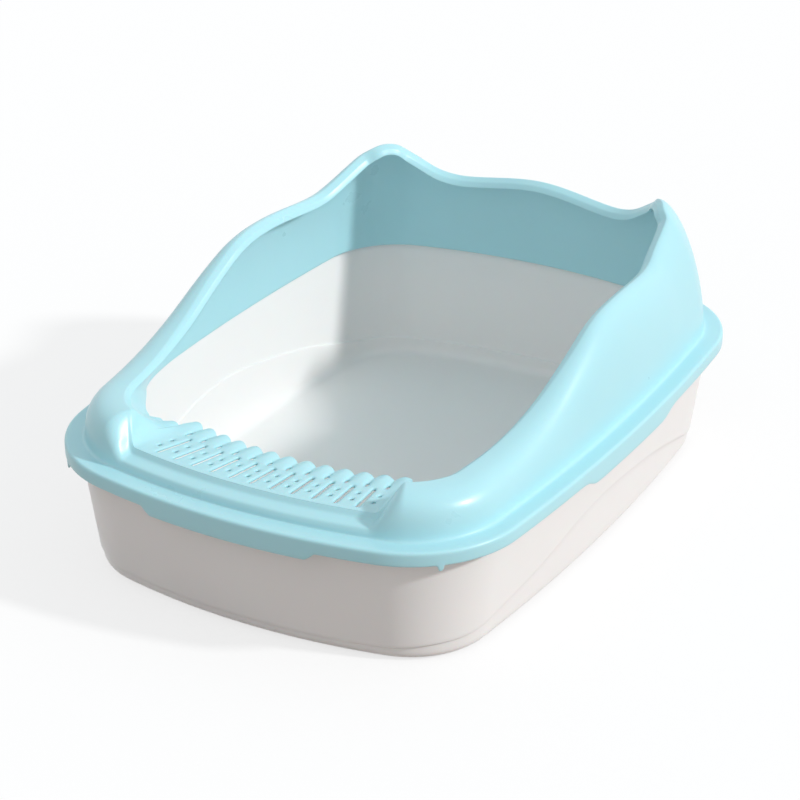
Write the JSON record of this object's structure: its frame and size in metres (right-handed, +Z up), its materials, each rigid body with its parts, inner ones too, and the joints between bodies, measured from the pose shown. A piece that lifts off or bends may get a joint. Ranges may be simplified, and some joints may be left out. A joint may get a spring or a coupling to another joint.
{
  "type": "semi-enclosed litter box",
  "caption": "Deep drafted litter pan under a lift-off surround with a rolled rim, two raised rear corners and a low slotted sifting step at the front.",
  "frame": {"origin": "on the floor, under the middle of the object's box", "axes": "+X to the object's right seen from the front, +Y from the step at the front to the raised back, +Z up"},
  "size_m": [0.4, 0.545, 0.2128],
  "materials": {
    "pan_plastic": "warm white, satin to gloss moulded polypropylene",
    "surround_plastic": "sky blue, satin to gloss moulded polypropylene"
  },
  "bodies": {
    "pan": {"base_pan": "pan_plastic"},
    "surround": {"surround": "surround_plastic"}
  },
  "joints": [
    {"name": "surround_lift", "type": "slide", "parent": "pan", "child": "surround", "axis": [0, 0, 1], "range_m": [0, 0.12]}
  ]
}
